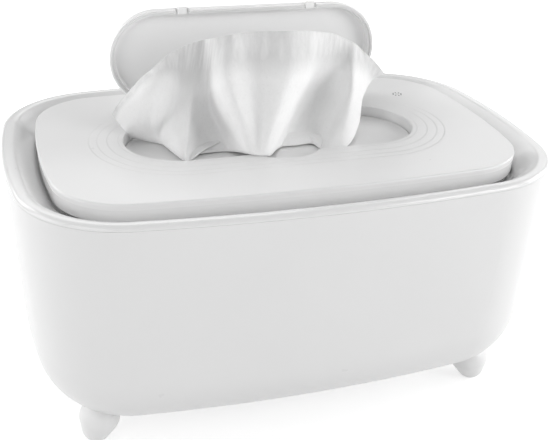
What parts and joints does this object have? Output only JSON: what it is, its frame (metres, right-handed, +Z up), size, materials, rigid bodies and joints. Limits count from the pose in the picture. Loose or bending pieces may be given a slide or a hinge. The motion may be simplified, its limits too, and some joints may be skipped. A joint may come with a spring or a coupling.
{
  "type": "baby wipe warmer",
  "caption": "Soft-cornered white wipe warmer on short feet, with a hinged top unit, an open flip lid over a long slot and a wipe standing half out.",
  "frame": {"origin": "on the surface it stands on, under the middle of the tub", "axes": "+X to the right along the length, -Y towards the user (the front, where the finger notch is), +Z up"},
  "size_m": [0.24, 0.164, 0.167],
  "materials": {
    "shell": "satin white moulding",
    "rim": "satin white moulding",
    "cover": "satin white moulding",
    "lid": "satin white moulding",
    "feet": "fine matte white moulding",
    "bin": "fine matte white moulding",
    "silicone": "soft translucent white silicone",
    "wipes": "soft damp non-woven cloth",
    "foam": "closed-cell foam",
    "film": "amber film",
    "aluminium": "plain rolled sheet",
    "cutout": "black moulding",
    "board": "green circuit board",
    "inlet": "black moulding",
    "lead": "black sleeving",
    "guide": "clear moulding",
    "screws": "zinc-plated steel",
    "pins": "ground steel"
  },
  "bodies": {
    "tub": {"outer_tub": "shell", "rim_frame": "rim", "inner_bin": "bin", "heat_spreader": "aluminium", "heating_film": "film", "insulation_pad": "foam", "thermal_cutout": "cutout", "heater_cover": "bin", "heater_screws": "screws", "control_board": "board", "board_screws": "screws", "dc_inlet": "inlet", "foot_front_left": "feet", "foot_front_right": "feet", "foot_rear_left": "feet", "foot_rear_right": "feet", "rear_hinge_pin": "pins", "rear_hinge_bush": "shell", "hinge_lead": "lead", "wipe_stack": "wipes"},
    "top_unit": {"top_cover": "cover", "lower_housing": "cover", "dispensing_tray": "cover", "slot_gasket": "silicone", "cover_screws": "screws", "plug_seal": "silicone", "touch_board": "board", "light_guide": "guide", "flip_pin": "pins", "wipe": "wipes"},
    "lid": {"flip_lid": "lid", "lid_seal": "silicone"}
  },
  "joints": [
    {"name": "top_unit_hinge", "type": "hinge", "parent": "tub", "child": "top_unit", "pos_m": [0, 0.0736, 0.113], "axis": [-1, 0, 0], "range_deg": [0, 95]},
    {"name": "flip_lid_hinge", "type": "hinge", "parent": "top_unit", "child": "lid", "pos_m": [0, 0.03383, 0.10783], "axis": [1, 0, 0], "range_deg": [0, 90], "deforming": ["wipe"]}
  ]
}
